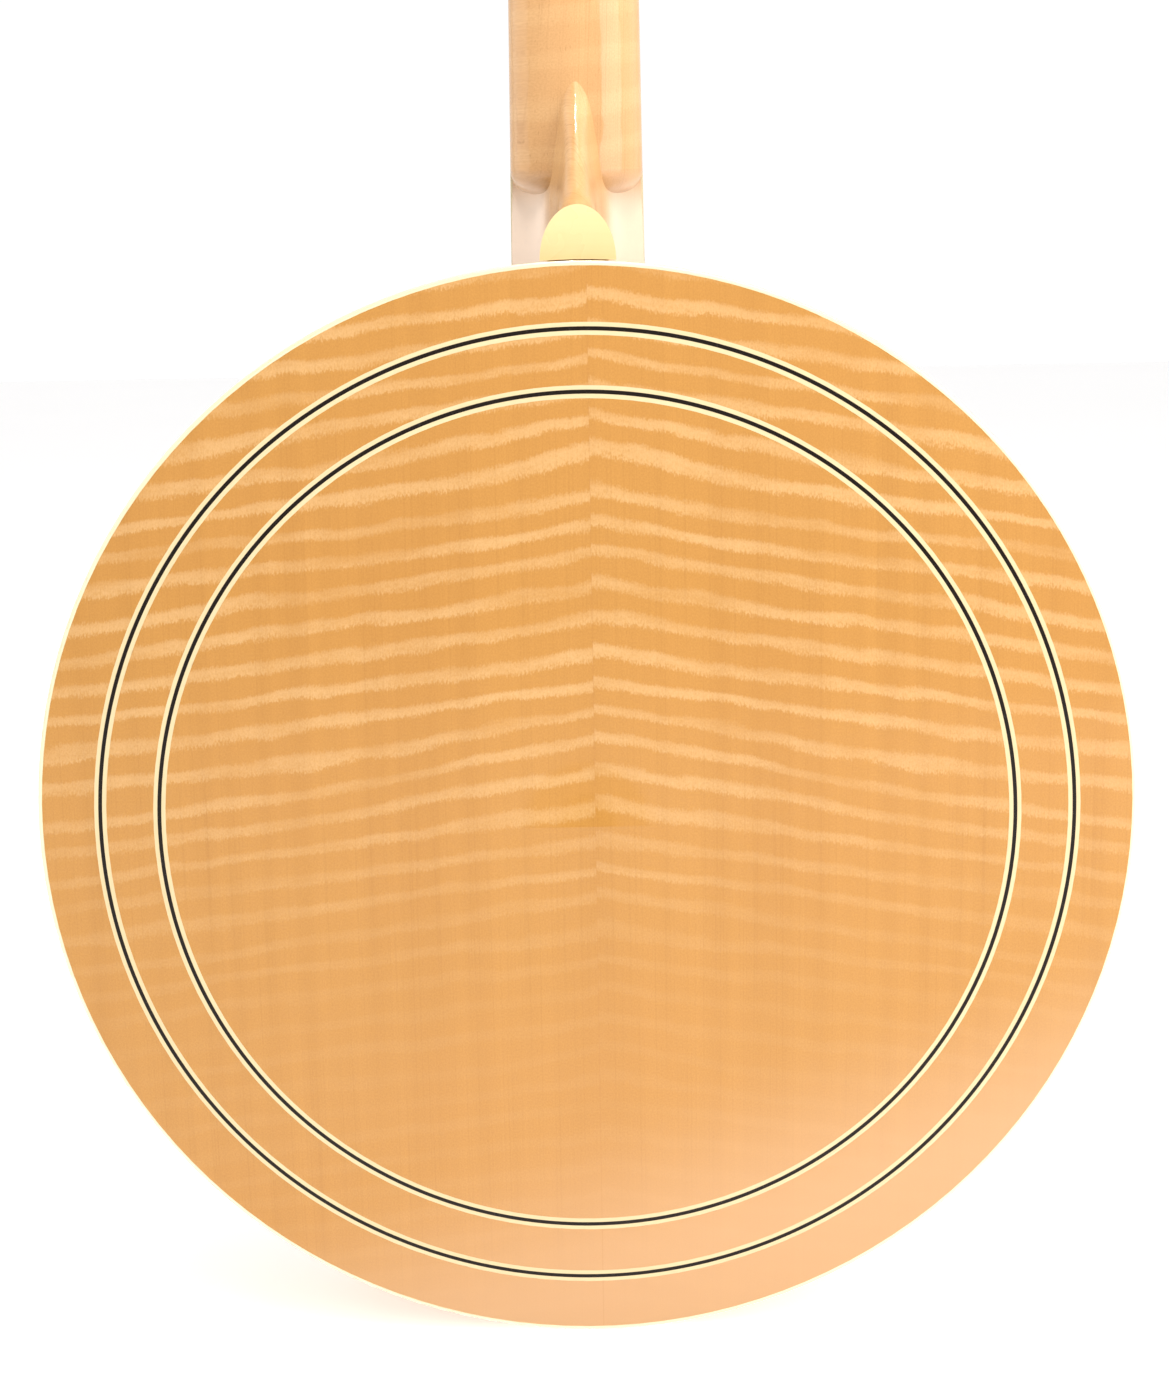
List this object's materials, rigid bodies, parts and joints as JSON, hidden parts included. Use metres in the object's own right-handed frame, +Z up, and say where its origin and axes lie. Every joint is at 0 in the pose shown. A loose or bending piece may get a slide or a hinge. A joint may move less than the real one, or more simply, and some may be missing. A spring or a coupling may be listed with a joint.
{
  "type": "banjo",
  "caption": "Resonator banjo: drum-like pot with a tension hoop, fretted neck with geared tuning pegs and a side drone peg, hinged tailpiece lid and a domed flamed-maple back that slides off.",
  "frame": {"origin": "lowest point of the resonator, halfway between its front and back edges, on the instrument's middle line", "axes": "+Z up the neck towards the peghead, +Y out of the domed back, -Y out of the head and strings, +X to the right seen from the front (treble side)"},
  "size_m": [0.3746, 0.1325, 0.964],
  "materials": {
    "maple_resonator": "flamed maple, amber stain, gloss lacquer",
    "maple_back": "flamed maple, amber stain, gloss lacquer",
    "maple_neck": "flamed maple, amber stain, gloss lacquer",
    "maple_rim": "laminated maple, satin lacquer",
    "maple_bridge": "bare maple",
    "ebony": "oiled, satin",
    "peghead_black": "gloss black overlay",
    "cover_black": "gloss black laminate",
    "binding_cream": "polished celluloid",
    "inlay_cream": "polished celluloid",
    "inlay_black": "polished celluloid",
    "cap_cream": "polished celluloid",
    "pearl": "polished shell",
    "bone": "polished bone",
    "button_pearl": "pearloid",
    "head_film": "frosted white film",
    "nickel": "polished nickel plate",
    "bronze": "cast bell bronze, polished",
    "hoop_aluminium": "satin",
    "steel": "zinc plated",
    "fret_metal": "polished nickel silver",
    "string_steel": "bright",
    "string_bronze": "wound bronze"
  },
  "bodies": {
    "banjo": {"armrest_clamps": "nickel", "armrest_plate": "nickel", "armrest_screws": "nickel", "bracket_hooks": "nickel", "bracket_nuts": "nickel", "bridge": "maple_bridge", "bridge_top": "ebony", "coordinator_rods": "steel", "fifth_peg_case": "nickel", "fifth_string_nut": "bone", "fingerboard": "ebony", "fingerboard_binding": "binding_cream", "flange": "nickel", "flesh_hoop": "hoop_aluminium", "fret_markers": "pearl", "frets": "fret_metal", "head_membrane": "head_film", "heel_cap": "cap_cream", "neck": "maple_neck", "neck_lag_bolts": "steel", "nut": "bone", "peghead_veneer": "peghead_black", "plain_strings": "string_steel", "rim": "maple_rim", "tail_screws": "steel", "tailpiece_base": "nickel", "tailpiece_bracket": "nickel", "tailpiece_pin": "steel", "tension_hoop": "nickel", "tone_ring": "bronze", "truss_cover_screws": "nickel", "truss_rod": "steel", "truss_rod_cover": "cover_black", "tuner_bushings": "nickel", "tuner_cases": "nickel", "wound_string": "string_bronze"},
    "resonator": {"resonator_wall": "maple_resonator", "resonator_back": "maple_back", "resonator_back_binding": "binding_cream", "resonator_front_binding": "binding_cream", "ring_inlay_cream": "inlay_cream", "ring_inlay_black": "inlay_black", "wall_lugs": "nickel", "wall_lug_screws": "steel"},
    "tailpiece_lid": {"tailpiece_cover": "nickel"},
    "tail_height_screw": {"tailpiece_screw": "nickel"},
    "fifth_post": {"fifth_peg_post": "nickel"},
    "fifth_button": {"fifth_peg_button": "button_pearl"},
    "post_1": {"tuner_post_1": "nickel"},
    "button_1": {"tuner_button_1": "button_pearl"},
    "thumb_1": {"thumb_screw_1": "nickel"},
    "post_2": {"tuner_post_2": "nickel"},
    "button_2": {"tuner_button_2": "button_pearl"},
    "thumb_2": {"thumb_screw_2": "nickel"},
    "post_3": {"tuner_post_3": "nickel"},
    "button_3": {"tuner_button_3": "button_pearl"},
    "thumb_3": {"thumb_screw_3": "nickel"},
    "post_4": {"tuner_post_4": "nickel"},
    "button_4": {"tuner_button_4": "button_pearl"},
    "thumb_4": {"thumb_screw_4": "nickel"}
  },
  "joints": [
    {"name": "resonator_slide", "type": "slide", "parent": "banjo", "child": "resonator", "axis": [0, 1, 0], "range_m": [0, 0.09]},
    {"name": "tuner_button_1_turn", "type": "hinge", "parent": "banjo", "child": "button_1", "pos_m": [0.02561, -0.01388, 0.8707], "axis": [0, 0.9563, -0.2924], "continuous": true},
    {"name": "tuner_post_1_turn", "type": "hinge", "parent": "banjo", "child": "post_1", "pos_m": [0.02561, -0.01388, 0.8707], "axis": [0, 0.9563, -0.2924], "continuous": true},
    {"name": "tuner_button_2_turn", "type": "hinge", "parent": "banjo", "child": "button_2", "pos_m": [0.02561, -0.00102, 0.91278], "axis": [0, 0.9563, -0.2924], "continuous": true},
    {"name": "tuner_post_2_turn", "type": "hinge", "parent": "banjo", "child": "post_2", "pos_m": [0.02561, -0.00102, 0.91278], "axis": [0, 0.9563, -0.2924], "continuous": true},
    {"name": "tuner_button_3_turn", "type": "hinge", "parent": "banjo", "child": "button_3", "pos_m": [-0.01839, -0.00102, 0.91278], "axis": [0, 0.9563, -0.2924], "continuous": true},
    {"name": "tuner_post_3_turn", "type": "hinge", "parent": "banjo", "child": "post_3", "pos_m": [-0.01839, -0.00102, 0.91278], "axis": [0, 0.9563, -0.2924], "continuous": true},
    {"name": "tuner_button_4_turn", "type": "hinge", "parent": "banjo", "child": "button_4", "pos_m": [-0.01839, -0.01388, 0.8707], "axis": [0, 0.9563, -0.2924], "continuous": true},
    {"name": "tuner_post_4_turn", "type": "hinge", "parent": "banjo", "child": "post_4", "pos_m": [-0.01839, -0.01388, 0.8707], "axis": [0, 0.9563, -0.2924], "continuous": true},
    {"name": "fifth_button_turn", "type": "hinge", "parent": "banjo", "child": "fifth_button", "pos_m": [-0.02148, -0.04718, 0.65985], "axis": [1, 0, 0], "continuous": true},
    {"name": "fifth_post_turn", "type": "hinge", "parent": "banjo", "child": "fifth_post", "pos_m": [-0.02148, -0.04718, 0.65985], "axis": [1, 0, 0], "continuous": true},
    {"name": "thumb_screw_1_turn", "type": "hinge", "parent": "banjo", "child": "thumb_1", "pos_m": [-0.10562, -0.0305, 0.30788], "axis": [0, 1, 0], "continuous": true},
    {"name": "thumb_screw_2_turn", "type": "hinge", "parent": "banjo", "child": "thumb_2", "pos_m": [-0.0954, -0.0305, 0.05848], "axis": [0, 1, 0], "continuous": true},
    {"name": "thumb_screw_3_turn", "type": "hinge", "parent": "banjo", "child": "thumb_3", "pos_m": [0.0954, -0.0305, 0.05848], "axis": [0, 1, 0], "continuous": true},
    {"name": "thumb_screw_4_turn", "type": "hinge", "parent": "banjo", "child": "thumb_4", "pos_m": [0.10562, -0.0305, 0.30788], "axis": [0, 1, 0], "continuous": true},
    {"name": "tailpiece_lid_hinge", "type": "hinge", "parent": "banjo", "child": "tailpiece_lid", "pos_m": [0, -0.0796, 0.0528], "axis": [1, 0, 0], "range_deg": [0, 90]},
    {"name": "tail_screw_turn", "type": "hinge", "parent": "banjo", "child": "tail_height_screw", "pos_m": [0, -0.08, 0.0431], "axis": [0, 1, 0], "continuous": true}
  ],
  "couplings": [
    {"joint": "tuner_post_1_turn", "follows": "tuner_button_1_turn", "ratio": 0.25},
    {"joint": "tuner_post_2_turn", "follows": "tuner_button_2_turn", "ratio": 0.25},
    {"joint": "tuner_post_3_turn", "follows": "tuner_button_3_turn", "ratio": 0.25},
    {"joint": "tuner_post_4_turn", "follows": "tuner_button_4_turn", "ratio": 0.25},
    {"joint": "fifth_post_turn", "follows": "fifth_button_turn", "ratio": 0.25}
  ]
}
